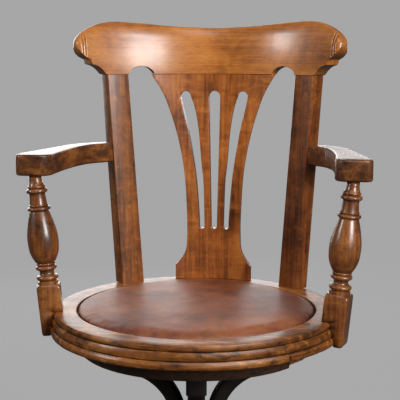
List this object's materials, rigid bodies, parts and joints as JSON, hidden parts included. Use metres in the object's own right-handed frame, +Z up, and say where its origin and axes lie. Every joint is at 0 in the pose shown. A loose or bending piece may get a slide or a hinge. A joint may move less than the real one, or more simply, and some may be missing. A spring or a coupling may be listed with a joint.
{
  "type": "swivel armchair",
  "caption": "Wooden swivel office armchair: curved crest rail, pierced fan splat, round leather seat, turned arm supports and a bent-leg castor base with screw height adjustment.",
  "frame": {"origin": "on the floor under the swivel axis", "axes": "+Z up the swivel axis, -Y the way the sitter faces, +X to the sitter's left"},
  "size_m": [0.5584, 0.5154, 0.924],
  "materials": {
    "walnut": "varnished mid-brown, worn at the edges",
    "dark_board": "dark stained, dull",
    "ebonised_wood": "near-black polish, worn along the ridge",
    "leather": "mottled red-brown, polished by use",
    "black_iron": "black paint over iron",
    "steel": "dull steel",
    "brass": "tarnished"
  },
  "bodies": {
    "base": {"back_castor_socket": "brass", "back_leg": "ebonised_wood", "back_leg_screw": "steel", "front_castor_socket": "brass", "front_leg": "ebonised_wood", "front_leg_screw": "steel", "head_ring": "black_iron", "left_castor_socket": "brass", "left_leg": "ebonised_wood", "left_leg_screw": "steel", "lower_band": "black_iron", "nut_tube": "black_iron", "right_castor_socket": "brass", "right_leg": "ebonised_wood", "right_leg_screw": "steel", "upper_band": "black_iron"},
    "spindle": {"spindle": "steel", "thrust_washer": "brass"},
    "height_nut": {"height_nut": "black_iron"},
    "seat": {"back_splat": "walnut", "crest_rail": "walnut", "left_arm": "walnut", "left_arm_support": "walnut", "left_stile": "walnut", "pad_board": "dark_board", "plate_screw_1": "steel", "plate_screw_2": "steel", "plate_screw_3": "steel", "plate_screw_4": "steel", "right_arm": "walnut", "right_arm_support": "walnut", "right_stile": "walnut", "seat_pad": "leather", "seat_plate": "black_iron", "seat_ring": "walnut", "under_board": "dark_board", "under_board_edge": "dark_board"},
    "front_castor": {"front_castor_horn": "brass", "front_castor_axle": "steel"},
    "front_wheel": {"front_castor_wheel": "brass"},
    "left_castor": {"left_castor_horn": "brass", "left_castor_axle": "steel"},
    "left_wheel": {"left_castor_wheel": "brass"},
    "back_castor": {"back_castor_horn": "brass", "back_castor_axle": "steel"},
    "back_wheel": {"back_castor_wheel": "brass"},
    "right_castor": {"right_castor_horn": "brass", "right_castor_axle": "steel"},
    "right_wheel": {"right_castor_wheel": "brass"}
  },
  "joints": [
    {"name": "height_slide", "type": "slide", "parent": "base", "child": "spindle", "axis": [0, 0, 1], "range_m": [0, 0.08]},
    {"name": "seat_swivel", "type": "hinge", "parent": "spindle", "child": "seat", "pos_m": [0, 0, 0.38], "axis": [0, 0, 1], "continuous": true},
    {"name": "nut_turn", "type": "hinge", "parent": "base", "child": "height_nut", "pos_m": [0, 0, 0.352], "axis": [0, 0, 1], "range_deg": [0, 3601]},
    {"name": "front_castor_swivel", "type": "hinge", "parent": "base", "child": "front_castor", "pos_m": [0.03721, -0.24319, 0.05], "axis": [0, 0, 1], "continuous": true},
    {"name": "front_wheel_roll", "type": "hinge", "parent": "front_castor", "child": "front_wheel", "pos_m": [0.05204, -0.24093, 0.021], "axis": [0.1513, -0.9885, 0], "continuous": true},
    {"name": "left_castor_swivel", "type": "hinge", "parent": "base", "child": "left_castor", "pos_m": [0.24319, 0.03721, 0.05], "axis": [0, 0, 1], "continuous": true},
    {"name": "left_wheel_roll", "type": "hinge", "parent": "left_castor", "child": "left_wheel", "pos_m": [0.24093, 0.05204, 0.021], "axis": [0.9885, 0.1513, 0], "continuous": true},
    {"name": "back_castor_swivel", "type": "hinge", "parent": "base", "child": "back_castor", "pos_m": [-0.03721, 0.24319, 0.05], "axis": [0, 0, 1], "continuous": true},
    {"name": "back_wheel_roll", "type": "hinge", "parent": "back_castor", "child": "back_wheel", "pos_m": [-0.05204, 0.24093, 0.021], "axis": [-0.1513, 0.9885, 0], "continuous": true},
    {"name": "right_castor_swivel", "type": "hinge", "parent": "base", "child": "right_castor", "pos_m": [-0.24319, -0.03721, 0.05], "axis": [0, 0, 1], "continuous": true},
    {"name": "right_wheel_roll", "type": "hinge", "parent": "right_castor", "child": "right_wheel", "pos_m": [-0.24093, -0.05204, 0.021], "axis": [-0.9885, -0.1513, 0], "continuous": true}
  ],
  "couplings": [
    {"joint": "nut_turn", "follows": "height_slide", "rad_per_m": 785.4}
  ]
}
